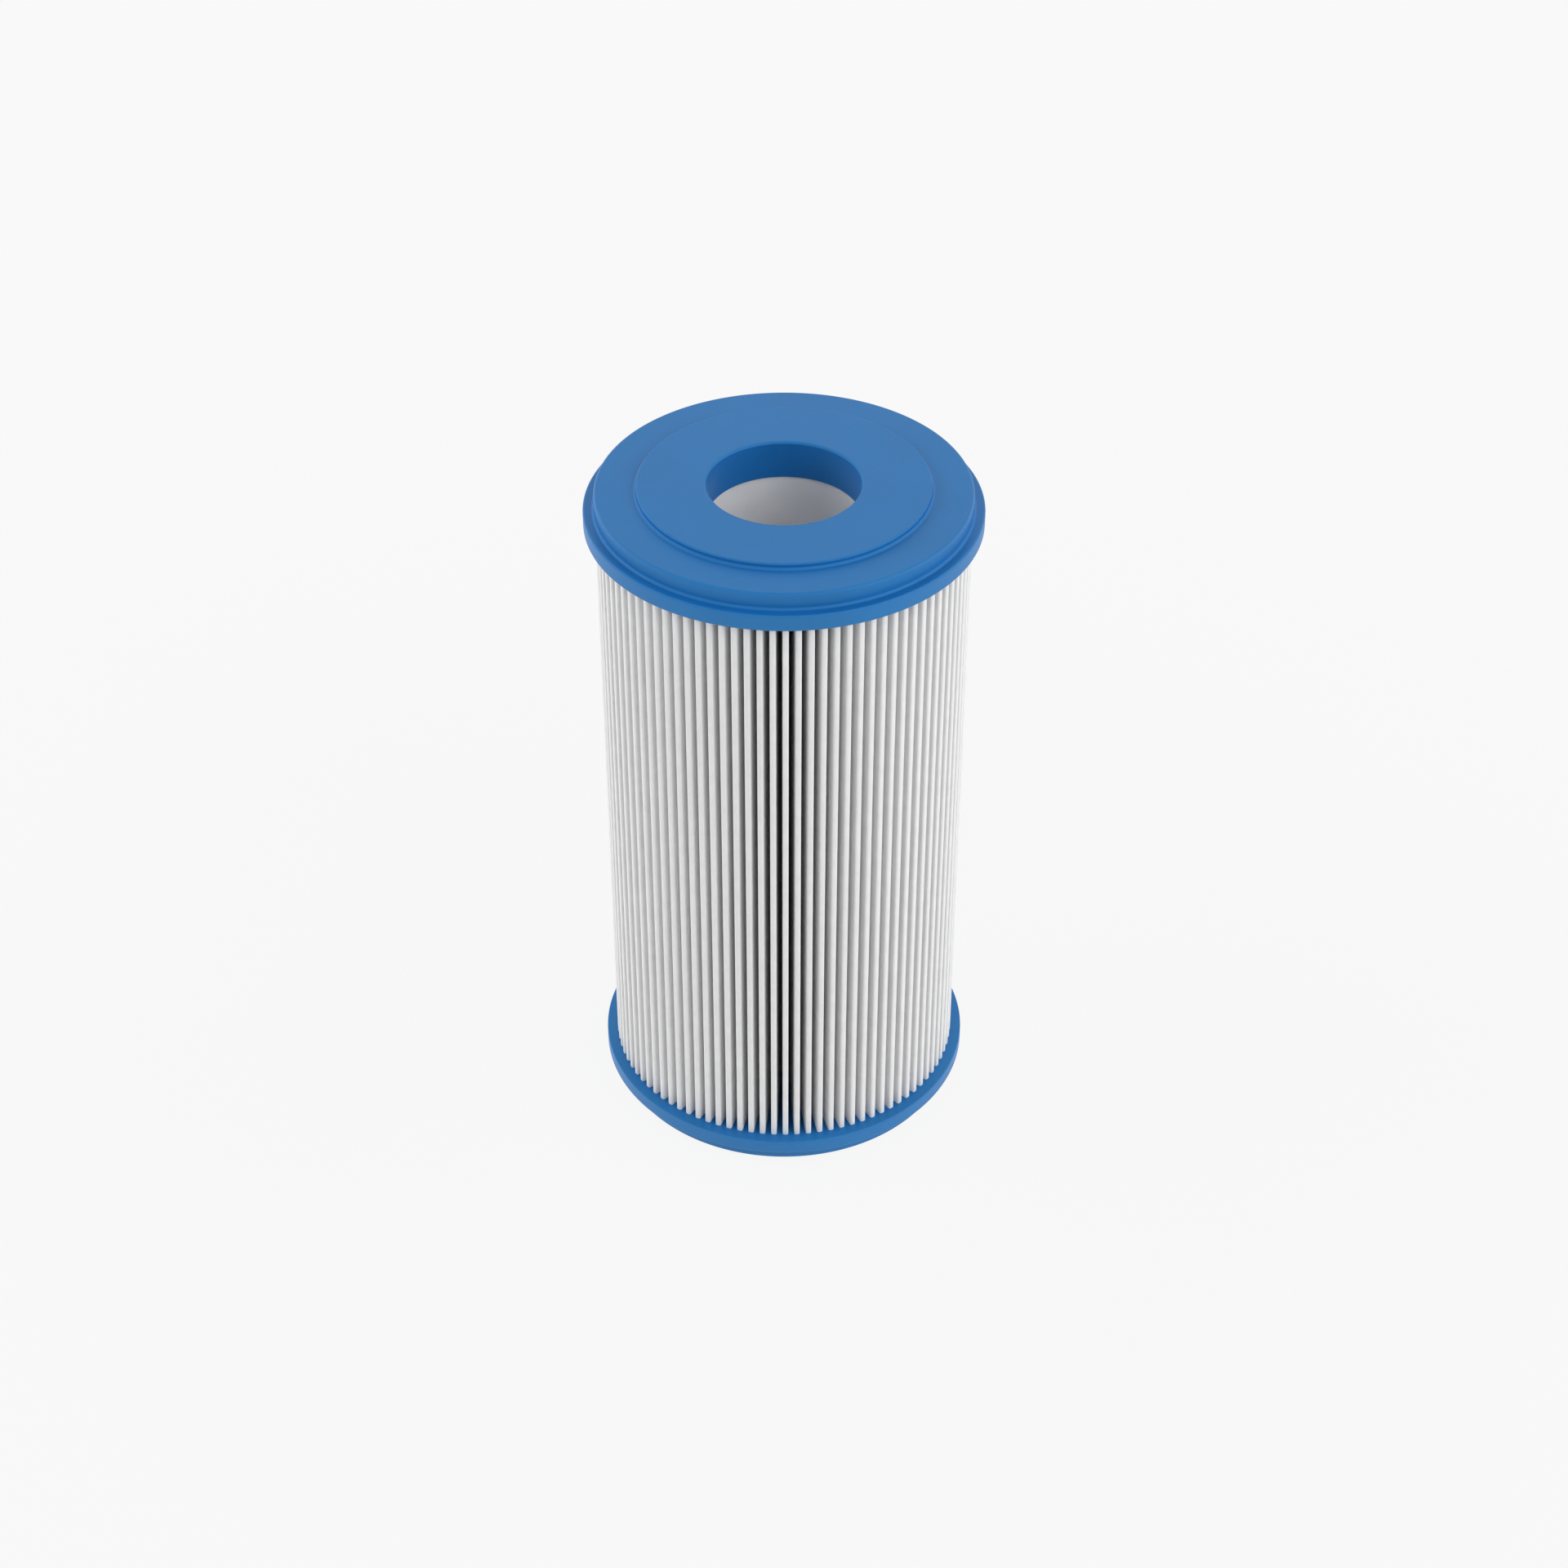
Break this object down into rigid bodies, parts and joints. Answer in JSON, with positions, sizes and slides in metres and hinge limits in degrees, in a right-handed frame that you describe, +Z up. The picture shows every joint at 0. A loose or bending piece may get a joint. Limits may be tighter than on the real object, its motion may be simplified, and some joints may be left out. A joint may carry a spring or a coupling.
{
  "type": "pleated filter element",
  "caption": "Upright round filter element: a ring of deep folded white media between two stepped blue end caps, with an open centre through a perforated core tube.",
  "frame": {"origin": "centre of the face that the element stands on, the lower cap's centre boss", "axes": "+Z up along the axis of the core and of both bores"},
  "size_m": [0.108, 0.108, 0.2033],
  "materials": {
    "cap_plastic": "soft blue moulded plastic, matt with a faint sheen",
    "filter_media": "stiff white nonwoven sheet, folded",
    "core_plastic": "smooth pale grey plastic"
  },
  "bodies": {
    "root": {"top_end_cap": "cap_plastic", "bottom_end_cap": "cap_plastic", "pleated_media": "filter_media", "core_tube": "core_plastic"}
  },
  "joints": []
}
